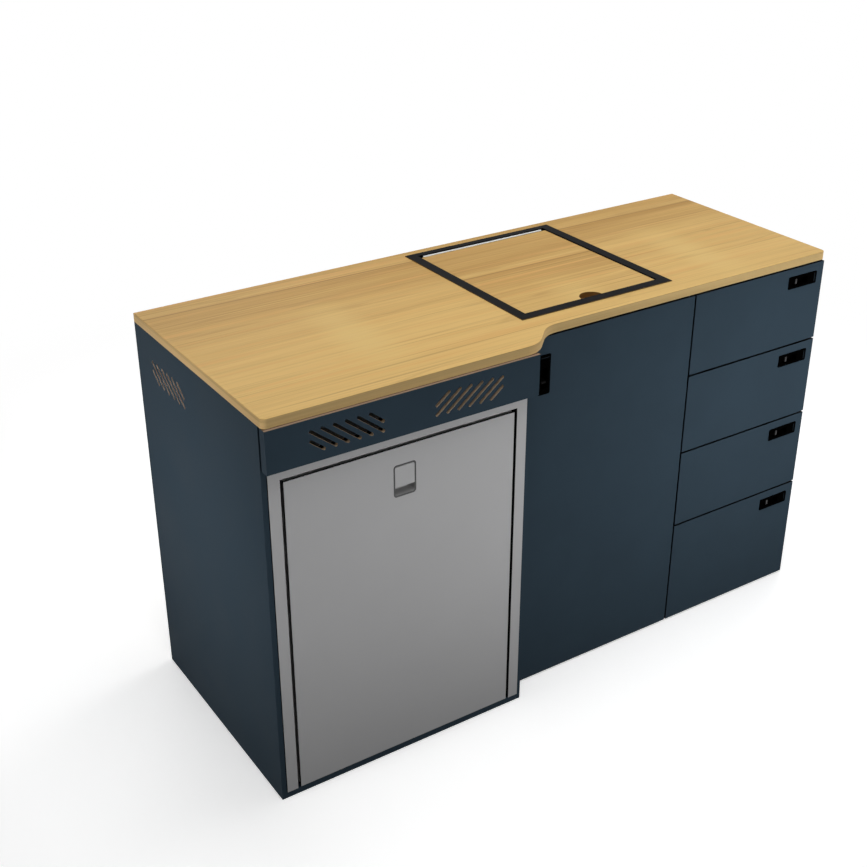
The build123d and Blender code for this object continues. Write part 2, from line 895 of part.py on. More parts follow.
def fridge_collar():
    """Dark surround of the door's recess, between the flange and the cabinet."""
    ring = block(fridge_x0, fridge_x1, y_housing, fridge_face, base_board, fridge_top)
    opening = block(recess_x0, recess_x1, y_housing - cut_overrun, fridge_face + cut_overrun,
                    base_board - cut_overrun, recess_top)
    return ring - opening


def fridge_case():
    """Sheet casing, open at the front."""
    sheet = fridge_sheet
    y0 = fridge_face + liner_sheet
    case = block(fridge_x0, fridge_x1, y0, fridge_back, base_board, fridge_top)
    return case - block(fridge_x0 + sheet, fridge_x1 - sheet, y0 - cut_overrun, fridge_back - sheet,
                        base_board + sheet, fridge_top - sheet)


def fridge_insulation():
    sheet = fridge_sheet
    y0 = fridge_face + liner_sheet
    foam = block(fridge_x0 + sheet, fridge_x1 - sheet, y0, fridge_back - sheet,
                 base_board + sheet, fridge_top - sheet)
    return foam - cold_room(liner_sheet)


def cold_room(grow):
    """The cold space, grown by the liner's thickness on every side but the front."""
    return block(cold_x0 - grow, cold_x1 + grow, fridge_face - cut_overrun, cold_back + grow,
                 cold_z0 - grow, cold_z1 + grow)


def fridge_shelf_levels():
    pitch = (cold_z1 - cold_z0) / (fridge_shelf_count + 1)
    return [cold_z0 + pitch * (number + 1) for number in range(fridge_shelf_count)]


def fridge_liner():
    face = block(fridge_x0, fridge_x1, fridge_face, fridge_face + liner_sheet, base_board, fridge_top)
    tub = block(cold_x0 - liner_sheet, cold_x1 + liner_sheet, fridge_face, cold_back + liner_sheet,
                cold_z0 - liner_sheet, cold_z1 + liner_sheet)
    liner = face + tub - cold_room(0)
    for z in fridge_shelf_levels():
        left = block(cold_x0, cold_x0 + rib_reach, fridge_shelf_y0, cold_back,
                     z - rib_height, z)
        right = block(cold_x1 - rib_reach, cold_x1, fridge_shelf_y0, cold_back,
                      z - rib_height, z)
        liner = liner + left + right
    return liner


def fridge_shelves():
    """Slotted shelves that rest on the liner's ribs."""
    shelves = []
    x0 = cold_x0 + slide_gap
    x1 = cold_x1 - slide_gap
    y1 = cold_back - evaporator_thickness - slide_gap
    y0 = fridge_shelf_y0
    pitch = fridge_shelf_slot + fridge_shelf_bar
    inner = x1 - x0 - 2 * rib_reach - fridge_shelf_bar
    count = int(inner // pitch)
    start = (x0 + x1 - count * pitch + fridge_shelf_bar) / 2
    for z in fridge_shelf_levels():
        shelf = block(x0, x1, y0, y1, z, z + fridge_shelf)
        for number in range(count):
            x = start + number * pitch
            shelf = shelf - block(x, x + fridge_shelf_slot, y0 + fridge_shelf_slot,
                                  y1 - fridge_shelf_slot, z - cut_overrun,
                                  z + fridge_shelf + cut_overrun)
        shelves.append(shelf)
    return shelves


def evaporator():
    """Cold plate on the back wall of the liner."""
    half = evaporator_width / 2
    middle = (cold_x0 + cold_x1) / 2
    z1 = cold_z1 - evaporator_top_gap
    plate = block(middle - half, middle + half, cold_back - evaporator_thickness, cold_back,
                  z1 - evaporator_height, z1)
    return fillet(plate.edges().filter_by(Axis.Y), evaporator_thickness)


def fridge_hinge_brackets():
    """An arm under the collar's head and one on the base board, each with a pin."""
    arms = []
    x0 = hinge_x - fridge_boss_radius
    x1 = hinge_x + fridge_arm_side
    spans = (
        (recess_top - fridge_bracket, recess_top, core_z1 - fridge_pin_length, recess_top),
        (base_board, base_board + fridge_bracket, base_board, core_z0 + fridge_pin_length),
    )
    for z0, z1, pin0, pin1 in spans:
        arm = block(x0, x1, hinge_front_y, fridge_face, z0, z1)
        arm = arm + upright_rod(hinge_x, hinge_front_y, z0, z1, fridge_boss_radius)
        arms.append(arm + upright_rod(hinge_x, hinge_front_y, pin0, pin1, pivot_pin_radius))
    return arms


def handle_pocket(grow, y1):
    """The room for the handle's cup, through the skin and into the door."""
    half = handle_width / 2 + grow
    x0 = handle_middle - half
    x1 = handle_middle + half
    z0 = handle_top - handle_height - grow
    pocket = block(x0, x1, y_flange - cut_overrun, y1, z0, handle_top + grow)
    return fillet(pocket.edges().filter_by(Axis.Y), handle_corner + grow)


def fridge_door_skin():
    skin = block(fd_x0, fd_x1, y_flange, skin_back, fridge_bottom, fridge_door_top)
    skin = fillet(skin.edges().filter_by(Axis.Y), fridge_skin_corner)
    skin = fillet(skin.faces().sort_by(Axis.Y)[0].edges(), edge_round)
    return skin - handle_pocket(handle_fit, skin_back + cut_overrun)


def fridge_door_core():
    core = block(core_x0, core_x1, skin_back, fd_back, core_z0, core_z1)
    radius = pivot_pin_radius + running_gap
    depth = fridge_pin_length + cut_overrun
    low = upright_rod(hinge_x, hinge_front_y, core_z0 - cut_overrun, core_z0 + depth, radius)
    high = upright_rod(hinge_x, hinge_front_y, core_z1 - depth, core_z1 + cut_overrun, radius)
    return core - low - high - handle_pocket(handle_fit, y_flange + handle_depth + handle_fit)


def fridge_door_seal():
    outer = block(cold_x0 - seal_width, cold_x1 + seal_width, fd_back, fd_back + seal_thickness,
                  cold_z0 - seal_width, cold_z1 + seal_width)
    inner = block(cold_x0, cold_x1, fd_back - cut_overrun, fd_back + seal_thickness + cut_overrun,
                  cold_z0, cold_z1)
    return outer - inner


def fridge_door_racks():
    """Open bins on the inside of the door."""
    racks = []
    x0 = cold_x0 + rack_inset
    x1 = cold_x1 - rack_inset
    pitch = (cold_z1 - cold_z0) / rack_count
    for number in range(rack_count):
        z0 = cold_z0 + rack_rise + number * pitch
        rack = block(x0, x1, fd_back, fd_back + rack_depth, z0, z0 + rack_height)
        room = block(x0 + rack_wall, x1 - rack_wall, fd_back + rack_wall,
                     fd_back + rack_depth - rack_wall, z0 + rack_wall, z0 + rack_height + cut_overrun)
        racks.append(rack - room)
    return racks


flap_half = handle_width / 2 - handle_wall - flap_gap
flap_top = handle_top - handle_wall - flap_top_gap
flap_pin_z = flap_top - flap_pin_drop
flap_pin_y = y_flange + flap_arm / 2


def fridge_handle_cup():
    cup = handle_pocket(0, y_flange + handle_depth)
    cup = cup - block(fd_x0, fd_x1, y_flange - 2 * cut_overrun, y_flange, fridge_bottom, fridge_door_top)
    room = handle_pocket(-handle_wall, y_flange + handle_depth - handle_wall)
    bore = flap_pin_radius + running_gap
    reach = flap_half + flap_gap + flap_pin_reach
    pins = length_rod(flap_pin_y, flap_pin_z, handle_middle - reach - running_gap,
                      handle_middle + reach + running_gap, bore)
    return cup - room - pins


def fridge_handle_flap():
    """Pull flap, hinged on two stub pins near its top edge."""
    x0 = handle_middle - flap_half
    x1 = handle_middle + flap_half
    z0 = flap_top - flap_height
    plate = block(x0, x1, y_flange, y_flange + flap_thickness, z0, flap_top)
    plate = fillet(plate.edges().filter_by(Axis.X).sort_by(Axis.Z)[:2], flap_thickness / 3)
    plate = fillet(plate.edges().filter_by(Axis.Y).sort_by(Axis.Z)[-2:], handle_corner - handle_wall)
    top = block(x0, x1, y_flange, y_flange + flap_arm, flap_pin_z - flap_arm / 2, flap_top)
    top = fillet(top.edges().filter_by(Axis.Y).sort_by(Axis.Z)[-2:], handle_corner - handle_wall)
    reach = flap_half + flap_gap + flap_pin_reach
    return plate + top + length_rod(flap_pin_y, flap_pin_z, handle_middle - reach,
                                    handle_middle + reach, flap_pin_radius)


# Cooling unit behind the fridge

condenser_x0 = fridge_x0 + condenser_side_inset
condenser_x1 = fridge_x1 - condenser_side_inset
condenser_y = fridge_back + condenser_gap
condenser_z1 = fridge_top - condenser_top_drop
stub_top = base_board + compressor_plate + compressor_foot + compressor_height + compressor_stub
condenser_loops = int((condenser_z1 - stub_top - condenser_bottom_room) // (2 * condenser_pitch))
condenser_runs = 1 + 2 * condenser_loops
condenser_z0 = condenser_z1 - 2 * condenser_loops * condenser_pitch


def condenser():
    """Sheet on four feet with a looped tube clipped to it; the tube ends over the compressor."""
    plate = block(condenser_x0 - condenser_edge, condenser_x1 + condenser_edge, condenser_y,
                  condenser_y + condenser_sheet, condenser_z0 - condenser_edge,
                  condenser_z1 + condenser_edge)
    points = []
    for number in range(condenser_runs):
        z = condenser_z1 - number * condenser_pitch
        ends = (condenser_x0, condenser_x1) if number % 2 == 0 else (condenser_x1, condenser_x0)
        points.append((ends[0], condenser_tube_y(), z))
        points.append((ends[1], condenser_tube_y(), z))
    points.append((points[-1][0], condenser_tube_y(), stub_top))
    path = FilletPolyline(*points, radius=condenser_pitch / 2.5)
    section = Plane(origin=points[0], z_dir=(1, 0, 0)) * Circle(condenser_tube_radius)
    unit = plate + sweep(section, path=path)
    for x in (condenser_x0, condenser_x1):
        for z in (condenser_z0 + condenser_pitch / 2, condenser_z1 - condenser_pitch / 2):
            half = condenser_foot / 2
            unit = unit + block(x - half, x + half, fridge_back, condenser_y, z - half, z + half)
    return unit


def condenser_tube_y():
    return condenser_y + condenser_sheet + condenser_tube_radius / 2


def compressor():
    """Sealed pot on a plate with four feet."""
    end_x = condenser_x1
    y = fridge_back + compressor_back_gap + compressor_radius
    z0 = base_board
    pot_z = z0 + compressor_plate + compressor_foot
    x = end_x - compressor_radius / 2
    half = compressor_plate_length / 2
    y0 = y - compressor_radius
    y1 = y + compressor_radius
    plate = block(x - half, x + half, y0, y1, z0, z0 + compressor_plate)
    pot = upright_rod(x, y, pot_z, pot_z + compressor_height, compressor_radius)
    pot = fillet(pot.edges(), compressor_round)
    unit = plate + pot
    inset = compressor_foot_inset
    for foot_x in (x - half + inset, x + half - inset):
        unit = unit + upright_rod(foot_x, y, z0, pot_z + compressor_foot, compressor_foot_radius)
        low, high = sorted((foot_x, x))
        unit = unit + block(low, high, y - inset / 2, y + inset / 2, pot_z + compressor_foot,
                            pot_z + compressor_foot + compressor_plate)
    outlet_z = pot_z + compressor_height / 2
    unit = unit + depth_rod(end_x, outlet_z, condenser_tube_y(), y, condenser_tube_radius)
    elbow = Pos(end_x, condenser_tube_y(), outlet_z) * Sphere(condenser_tube_radius)
    rise = upright_rod(end_x, condenser_tube_y(), outlet_z, stub_top, condenser_tube_radius)
    return unit + elbow + rise


def main():
    os.makedirs("parts", exist_ok=True)
    save("left_side_panel", left_side_panel())
    save("fridge_divider", fridge_divider())
    save("centre_divider", centre_divider())
    save("right_side_panel", right_side_panel())
    save("base_panel", base_panel())
    save("back_panel", back_panel())
    save("cupboard_shelf", cupboard_shelf())
    save("carcass_rails", *carcass_rails())
    save("worktop", worktop())
    save("worktop_screws", *worktop_screws())
    save("vent_valance", vent_valance())
    save("valance_clips", *valance_clips())
    save("runner_channels", *runner_channels())
    save("latch_strikes", *latch_strikes())
    save("door_pivot_brackets", *door_pivot_brackets())
    save("lid_trim_frame", lid_trim_frame())
    save("lid_hinge_fixed_leaf", *lid_hinge_fixed_leaf())
    save("lid_hinge_moving_leaf", lid_hinge_moving_leaf())
    save("sink_lid", sink_lid())
    save("sink_bowl", sink_bowl())
    save("sink_waste", sink_waste())
    save("cupboard_door", cupboard_door())
    save("door_latch_housing", door_latch_place() * latch_housing_solid())
    save("door_latch_slider", door_latch_place() * latch_slider_solid())
    for number in range(drawer_count):
        name = f"drawer_{number + 1}"
        place = drawer_latch_place(number)
        save(f"{name}_front", drawer_front(number))
        save(f"{name}_box", *drawer_box(number))
        save(f"{name}_slides", *drawer_slides(number))
        save(f"{name}_latch_housing", place * latch_housing_solid())
        save(f"{name}_latch_slider", place * latch_slider_solid())
    save("fridge_frame", fridge_frame())
    save("fridge_collar", fridge_collar())
    save("fridge_case", fridge_case())
    save("fridge_insulation", fridge_insulation())
    save("fridge_liner", fridge_liner())
    save("fridge_shelves", *fridge_shelves())
    save("evaporator", evaporator())
    save("fridge_hinge_brackets", *fridge_hinge_brackets())
    save("fridge_door_skin", fridge_door_skin())
    save("fridge_door_core", fridge_door_core())
    save("fridge_door_seal", fridge_door_seal())
    save("fridge_door_racks", *fridge_door_racks())
    save("fridge_handle_cup", fridge_handle_cup())
    save("fridge_handle_flap", fridge_handle_flap())
    save("condenser", condenser())
    save("compressor", compressor())


main()
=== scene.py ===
import math

import bpy
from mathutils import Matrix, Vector


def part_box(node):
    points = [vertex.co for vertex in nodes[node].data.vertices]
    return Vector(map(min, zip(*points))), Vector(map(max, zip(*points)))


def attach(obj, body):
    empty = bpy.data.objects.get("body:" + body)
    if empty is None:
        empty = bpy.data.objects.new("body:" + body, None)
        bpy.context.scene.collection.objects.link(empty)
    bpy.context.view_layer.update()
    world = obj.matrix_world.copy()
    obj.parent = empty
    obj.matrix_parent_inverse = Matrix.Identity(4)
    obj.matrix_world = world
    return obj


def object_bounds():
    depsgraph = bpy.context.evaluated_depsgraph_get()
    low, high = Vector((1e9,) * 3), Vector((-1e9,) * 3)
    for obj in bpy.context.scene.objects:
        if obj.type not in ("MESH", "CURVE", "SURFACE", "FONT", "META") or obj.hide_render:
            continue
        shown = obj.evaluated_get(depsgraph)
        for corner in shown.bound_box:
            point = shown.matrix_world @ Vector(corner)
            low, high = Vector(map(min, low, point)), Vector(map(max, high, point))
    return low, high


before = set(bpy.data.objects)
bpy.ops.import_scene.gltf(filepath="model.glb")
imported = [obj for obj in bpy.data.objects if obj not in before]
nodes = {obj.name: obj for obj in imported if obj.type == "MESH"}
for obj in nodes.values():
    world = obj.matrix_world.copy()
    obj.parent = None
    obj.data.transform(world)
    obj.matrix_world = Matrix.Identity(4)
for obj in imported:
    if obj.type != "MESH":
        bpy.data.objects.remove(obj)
cad_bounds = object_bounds()
scene = bpy.context.scene
drawer_numbers = range(1, 5)

# Camera: where the photograph was taken from, in metres and degrees
camera_place = (-1.507866, -2.028025, 1.800)
camera_tilt = 62.437
camera_turn = -33.198
camera_lens = 55.41
camera_sensor = 36.0

# Finishes, as 8-bit colours
wood_dark = (176, 136, 74)
wood_light = (215, 179, 112)
wood_line = (150, 114, 64)
wood_yellow = (214, 184, 117)
wood_orange = (211, 163, 98)
edge_dark = (174, 146, 98)
edge_light = (210, 181, 127)
# Painted light: the board's ends get a lighter copy of the edge colours
lit_end_dark = (218, 180, 122)
lit_end_light = (248, 212, 150)
# Painted shade: the dark brown of the lid's edges and finger notch
notch_shade_brown = (118, 88, 50)
navy = (50, 64, 75)
edge_black = (2, 2, 3)
raw_ply = (200, 176, 148)
# Painted light: a paler copy of raw_ply for the side panel's slot walls and bare edges
side_ply_painted_light = (240, 214, 190)
strip_tan = (150, 128, 108)
strip_dark = (96, 76, 56)
slot_dark = (4, 3, 3)
birch = (214, 188, 148)
birch_glue = (150, 112, 76)
enamel = (198, 198, 199)
flap_grey = (198, 198, 199)
cup_grey = (95, 95, 95)
# Painted light: the handle's well is paler than its rim to lift its shade
cup_well_painted_light = (172, 172, 172)
black = (3, 3, 3)
groove_highlight_grey = (34, 40, 45)
trim_black = (12, 12, 13)
# Painted shadow: brown along the lid frame's outer left and front edges
trim_shadow_brown = (92, 76, 52)
lever_grey = (34, 34, 35)
steel = (200, 200, 198)
zinc = (178, 180, 182)
alloy = (205, 206, 208)
white_plastic = (233, 233, 231)
clear_tint = (226, 233, 236)
seal_black = (8, 8, 9)
pipe_black = (20, 20, 21)
foam_cream = (226, 214, 168)
floor_white = (252, 252, 252)
floor_bounce = (52, 52, 52)

# The curve between an 8-bit colour and linear light
curve_top = 255
curve_knee = 0.04045
curve_slope = 12.92
curve_offset = 0.055
curve_power = 2.4


def linear(colour):
    """An 8-bit colour as linear light, with alpha."""
    parts = []
    for value in colour:
        share = value / curve_top
        if share <= curve_knee:
            parts.append(share / curve_slope)
        else:
            parts.append(((share + curve_offset) / (1 + curve_offset)) ** curve_power)
    return (*parts, 1.0)


def shade(colour, share):
    """An 8-bit colour made darker or lighter, as linear light."""
    return tuple(value * share for value in linear(colour)[:3]) + (1.0,)


def middle(low, high, axis):
    """The middle of a box along one axis."""
    return (low[axis] + high[axis]) / 2


# Noise: its middle, the range that holds most of its values, and a narrower one for bolder marks
noise_middle = 0.5
noise_range = (0.3, 0.7)
bold_range = (0.35, 0.65)

# Facing: how much of a surface's direction lies along an axis when it counts as facing it
facing_range = (0.45, 0.55)
facing_limit = 0.5


class Recipe:
    """A node material with one Principled shader, and short calls that wire it."""

    def __init__(self, name, roughness=0.5, metallic=0.0, specular=0.5):
        self.material = bpy.data.materials.new(name)
        self.material.use_nodes = True
        self.tree = self.material.node_tree
        self.tree.nodes.clear()
        self.output = self.add("ShaderNodeOutputMaterial")
        self.shader = self.add("ShaderNodeBsdfPrincipled")
        self.shader.inputs["Roughness"].default_value = roughness
        self.shader.inputs["Metallic"].default_value = metallic
        self.shader.inputs["Specular IOR Level"].default_value = specular
        self.link(self.shader.outputs[0], self.output.inputs[0])

    def add(self, kind):
        return self.tree.nodes.new(kind)

    def link(self, source, target):
        self.tree.links.new(source, target)

    def feed(self, socket, value):
        """Link an output, or set a constant."""
        if isinstance(value, bpy.types.NodeSocket):
            self.link(value, socket)
        else:
            socket.default_value = value

    def coordinates(self, kind):
        return self.add("ShaderNodeTexCoord").outputs[kind]

    def parts(self, vector):
        split = self.add("ShaderNodeSeparateXYZ")
        self.link(vector, split.inputs[0])
        return split.outputs[0], split.outputs[1], split.outputs[2]

    def spot(self):
        """The point on the piece in metres, as three numbers."""
        return self.parts(self.coordinates("Object"))

    def facing(self):
        """The surface's own direction, as three numbers."""
        return self.parts(self.coordinates("Normal"))

    def noise(self, cell, detail=3.0, rough=0.5, twist=0.0, shift=(0, 0, 0)):
        """Noise whose cells have this size in metres along each axis."""
        sizes = (cell, cell, cell) if isinstance(cell, float) else cell
        scaled = self.add("ShaderNodeVectorMath")
        scaled.operation = "MULTIPLY_ADD"
        self.link(self.coordinates("Object"), scaled.inputs[0])
        scaled.inputs[1].default_value = tuple(1 / size for size in sizes)
        scaled.inputs[2].default_value = shift
        node = self.add("ShaderNodeTexNoise")
        self.link(scaled.outputs[0], node.inputs["Vector"])
        node.inputs["Scale"].default_value = 1.0
        node.inputs["Detail"].default_value = detail
        node.inputs["Roughness"].default_value = rough
        node.inputs["Distortion"].default_value = twist
        return node.outputs["Fac"]

    def math(self, operation, first, second=0.0):
        node = self.add("ShaderNodeMath")
        node.operation = operation
        self.feed(node.inputs[0], first)
        self.feed(node.inputs[1], second)
        return node.outputs[0]

    def total(self, *terms):
        """The sum of a start and of (value, weight) pairs."""
        result = terms[0]
        for value, weight in terms[1:]:
            result = self.math("ADD", result, self.math("MULTIPLY", value, weight))
        return result

    def span(self, value, low, high, to_low=0.0, to_high=1.0, smooth=False):
        """A value mapped from one range to another, and held at its ends."""
        node = self.add("ShaderNodeMapRange")
        node.interpolation_type = "SMOOTHSTEP" if smooth else "LINEAR"
        self.feed(node.inputs["Value"], value)
        node.inputs["From Min"].default_value = low
        node.inputs["From Max"].default_value = high
        node.inputs["To Min"].default_value = to_low
        node.inputs["To Max"].default_value = to_high
        return node.outputs[0]

    def hump(self, value, centre, reach):
        """One at the centre, falling smoothly to nothing at the reach."""
        away = self.math("ABSOLUTE", self.math("SUBTRACT", value, centre))
        return self.span(away, 0.0, reach, 1.0, 0.0, smooth=True)

    def blend(self, share, first, second):
        """A colour between two."""
        node = self.add("ShaderNodeMix")
        node.data_type = "RGBA"
        self.feed(node.inputs["Factor"], share)
        self.feed(node.inputs["A"], first)
        self.feed(node.inputs["B"], second)
        return node.outputs["Result"]

    def shades(self, share, colour, ends):
        """One colour from its darker to its lighter shade."""
        return self.blend(share, shade(colour, ends[0]), shade(colour, ends[1]))

    def across(self, axis):
        """One where the surface faces away from an axis, nothing where it faces along it."""
        return self.span(self.math("ABSOLUTE", self.facing()[axis]), *facing_range, 1.0, 0.0)

    def both(self, first, second):
        """A mask that is one where both masks are."""
        return self.math("MULTIPLY", first, second)

    def either(self, first, second):
        """A mask that is one where either mask is."""
        return self.math("MAXIMUM", first, second)

    def colour(self, value):
        self.feed(self.shader.inputs["Base Color"], value)

    def paint(self, mask, value):
        """Put a colour over the present one where the mask is one."""
        under = self.shader.inputs["Base Color"].links[0].from_socket
        self.colour(self.blend(mask, under, value))

    def rough(self, value):
        self.feed(self.shader.inputs["Roughness"], value)

    def bump(self, height, distance, strength=1.0):
        node = self.add("ShaderNodeBump")
        node.inputs["Strength"].default_value = strength
        node.inputs["Distance"].default_value = distance
        self.link(height, node.inputs["Height"])
        self.link(node.outputs[0], self.shader.inputs["Normal"])


def dress(made, *names):
    """Give CAD nodes a material."""
    for name in names:
        slots = nodes[name].data.materials
        slots.clear()
        slots.append(made.material)


# Oak: its marks, with cells in metres along the grain and across it
oak_band = dict(cell=(0.90, 0.036, 0.036), detail=3.0, rough=0.55)
oak_streak = dict(cell=(0.55, 0.0065, 0.0065), detail=4.0, rough=0.6, twist=0.1)
oak_fibre = dict(cell=(0.050, 0.0017, 0.0017), detail=2.0)
oak_hue = dict(cell=(0.50, 0.014, 0.014), detail=2.0)
oak_thread = dict(cell=(0.80, 0.0048, 0.0048), detail=2.0)
oak_vein = dict(cell=(1.50, 0.055, 0.055), detail=2.0)
oak_edge_streak = dict(cell=(0.35, 0.35, 0.0035), detail=3.0, rough=0.55)

# Oak: how much each mark does to the tone
oak_start = -0.84
oak_band_weight = 0.85
oak_streak_weight = 1.1
oak_fibre_weight = 0.35
oak_zone_weight = -0.22
oak_pale_weight = 0.22
oak_flame_weight = 0.15
oak_depth_weight = 0.62
oak_orange_range = (0.5, 0.75)
oak_orange_most = 0.6
oak_yellow_most = 0.55
oak_thread_range = (0.60, 0.72)
oak_thread_most = 0.42
oak_vein_reach = 0.012
oak_vein_most = 0.22
oak_line_most = 0.95

# Oak: places of the marks ahead of the dark line, in metres
oak_line_slant = -0.013
oak_line_half = 0.0034
oak_pale_strip = -0.014
oak_pale_reach = 0.016
oak_zone_start = 0.004
oak_zone_reach = 0.16
oak_back = -0.06
oak_front = 0.32
oak_flame_reach = 0.075
oak_flame_middle = 0.27
oak_flame_length = 0.24

# Oak: the oiled surface and the edges
oak_roughness = 0.55
oak_rough_range = (0.42, 0.56)
oak_specular = 0.06
oak_relief = 0.00012
oak_relief_strength = 0.3
oak_edge_layer = 0.8145
oak_edge_line = 0.8197
oak_edge_start = 0.15
oak_edge_weight = 0.9
oak_upper_weight = -0.45
oak_front_line_weight = -0.5
notch_shades = (0.85, 1.15)

# Oak boards: the dark line's place, the flames' places along the board and the noise's shift
top_line = 0.219
top_flames = (-0.385, 0.445)
top_shift = (0.0, 3.1, 0.7)
lid_line = 0.0703
lid_flames = (0.095,)
lid_shift = (2.3, 7.4, 4.2)


def oak_flame(made, x, ahead, flames):
    """The pale flame figure: a soft patch at each place along the board."""
    flame = made.hump(x, flames[0], oak_flame_reach)
    for place in flames[1:]:
        flame = made.either(flame, made.hump(x, place, oak_flame_reach))
    return made.both(flame, made.hump(ahead, oak_flame_middle, oak_flame_length))


def oak_marks(made, ahead, shift):
    """How much of the dark line colour shows: thin threads, soft veins and the one long line."""
    thread = made.noise(**oak_thread, shift=shift)
    thread = made.span(thread, *oak_thread_range, 0.0, oak_thread_most, smooth=True)
    vein = made.math("SUBTRACT", made.noise(**oak_vein, shift=shift), noise_middle)
    vein = made.span(made.math("ABSOLUTE", vein), 0.0, oak_vein_reach, oak_vein_most, 0.0, smooth=True)
    line = made.math("MULTIPLY", made.hump(ahead, 0.0, oak_line_half), oak_line_most)
    return made.either(thread, made.either(vein, line))


def oak_tone(made, ahead, flame, streaks, fibres, shift):
    """How light the wood is: streaks, the darker zone by the line, and paler towards the front."""
    bands = made.noise(**oak_band, shift=shift)
    zone = made.both(made.span(ahead, 0.0, oak_zone_start),
                     made.span(ahead, 0.0, oak_zone_reach, 1.0, 0.0))
    pale_strip = made.hump(ahead, oak_pale_strip, oak_pale_reach)
    depth = made.span(ahead, oak_back, oak_front)
    return made.total(oak_start, (bands, oak_band_weight), (streaks, oak_streak_weight),
                      (fibres, oak_fibre_weight), (zone, oak_zone_weight), (pale_strip, oak_pale_weight),
                      (flame, oak_flame_weight), (depth, oak_depth_weight))


def oak(name, line_y, flames, shift, edges):
    """Oiled oak veneer: streaks along X, one dark line near line_y and pale flames across."""
    made = Recipe(name, roughness=oak_roughness, specular=oak_specular)
    x, y, z = made.spot()
    streaks = made.noise(**oak_streak, shift=shift)
    fibres = made.noise(**oak_fibre, shift=shift)
    ahead = made.math("SUBTRACT", made.total(line_y, (x, oak_line_slant)), y)
    flame = oak_flame(made, x, ahead, flames)
    tone = oak_tone(made, ahead, flame, streaks, fibres, shift)
    wood = made.blend(made.span(tone, 0.0, 1.0), linear(wood_dark), linear(wood_light))
    hue = made.noise(**oak_hue, shift=shift)
    orange = made.span(hue, *oak_orange_range, 0.0, oak_orange_most, smooth=True)
    wood = made.blend(orange, wood, linear(wood_orange))
    wood = made.blend(made.math("MULTIPLY", flame, oak_yellow_most), wood, linear(wood_yellow))
    wood = made.blend(oak_marks(made, ahead, shift), wood, linear(wood_line))
    made.colour(made.blend(made.across(2), wood, edges(made, z, shift)))
    made.rough(made.span(streaks, *noise_range, *oak_rough_range))
    made.bump(made.math("ADD", fibres, streaks), oak_relief, oak_relief_strength)
    return made


def worktop_edge(made, z, shift):
    """The board's edge: long streaks, a browner upper layer at the ends and a thin line in front. The
    ends are painted lighter than the front edge, as painted light.
    """
    streaks = made.noise(**oak_edge_streak, shift=shift)
    at_end = made.math("ABSOLUTE", made.facing()[0])
    in_front = made.math("SUBTRACT", 1.0, at_end)
    upper = made.both(made.math("GREATER_THAN", z, oak_edge_layer), at_end)
    line = made.both(made.math("GREATER_THAN", z, oak_edge_line), in_front)
    tone = made.total(oak_edge_start, (streaks, oak_edge_weight), (upper, oak_upper_weight),
                      (line, oak_front_line_weight))
    tone = made.span(tone, 0.0, 1.0)
    front = made.blend(tone, linear(edge_dark), linear(edge_light))
    # Painted light: the ends take the lighter copy of the edge colours
    end = made.blend(tone, linear(lit_end_dark), linear(lit_end_light))
    return made.blend(at_end, front, end)


def lid_edge(made, z, shift):
    """The lid's edge and finger notch, painted dark brown as shade."""
    streaks = made.noise(**oak_edge_streak, shift=shift)
    return made.shades(streaks, notch_shade_brown, notch_shades)


# Laminated boards: matt skin over a plywood core, in metres
laminate_cloud = 0.14
laminate_skin = dict(cell=0.0011, detail=2.0)
laminate_relief = 0.00006
laminate_relief_strength = 0.4
laminate_roughness = 0.65
laminate_rough_range = (0.60, 0.70)
laminate_specular = 0.04
laminate_shades = (0.94, 1.06)
ply_layer = 0.0028
ply_grime = 0.015
ply_grime_weight = 0.8
ply_layer_weight = 0.2
ply_shades = (0.92, 1.06)
slot_pale = 0.005
slot_black = 0.009
vent_margin = 0.009
hidden_skin = 0.001


def laminate(name, bare=None, thin_axis=0, core=raw_ply, slot_face=None):
    """Matt navy laminate. Where the bare mask says so, the plywood core shows."""
    made = Recipe(name, roughness=laminate_roughness, specular=laminate_specular)
    cloud = made.noise(laminate_cloud)
    base = made.shades(made.span(cloud, *noise_range), navy, laminate_shades)
    if bare is not None:
        base = made.blend(bare(made), base, ply_core(made, thin_axis, core, slot_face))
    made.colour(base)
    made.rough(made.span(cloud, *noise_range, *laminate_rough_range))
    made.bump(made.noise(**laminate_skin), laminate_relief, laminate_relief_strength)
    return made


def ply_wave(made, depth):
    """The plywood's layers as a wave through its thickness."""
    return made.math("SINE", made.math("MULTIPLY", depth, 2 * math.pi / ply_layer))


def ply_core(made, thin_axis, core, slot_face):
    """Bare plywood edge with faint layers. In from a slotted face it falls into shadow."""
    layer = made.span(ply_wave(made, made.spot()[thin_axis]), -1.0, 1.0)
    tone = made.total(0.0, (made.noise(ply_grime), ply_grime_weight), (layer, ply_layer_weight))
    bare = made.shades(tone, core, ply_shades)
    if slot_face is None:
        return bare
    depth = made.math("SUBTRACT", made.spot()[thin_axis], slot_face)
    return made.blend(made.span(depth, slot_pale, slot_black), bare, linear(slot_dark))


def slot_walls(node, thin_axis):
    """A mask for a vented board's slot walls: they face along its plane, inside its outline."""
    low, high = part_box(node)

    def mask(made):
        inside = made.across(thin_axis)
        spot = made.spot()
        for axis in range(3):
            if axis != thin_axis:
                above = made.math("GREATER_THAN", spot[axis], low[axis] + vent_margin)
                below = made.math("LESS_THAN", spot[axis], high[axis] - vent_margin)
                inside = made.both(inside, made.both(above, below))
        return inside
    return mask


def hidden_edges(made):
    """A mask for the edges that face the back and the floor, which are left bare."""
    facing = made.facing()
    back = made.math("GREATER_THAN", facing[1], facing_limit)
    below = made.math("LESS_THAN", facing[2], -facing_limit)
    at_back = made.math("GREATER_THAN", made.spot()[1], cad_bounds[1][1] - hidden_skin)
    return made.either(made.both(back, at_back), below)


# The valance's bare top edge: how thick it shows, and where it falls into shadow behind
strip_skin = 0.0004
strip_depth = 0.004
strip_fade = 0.002


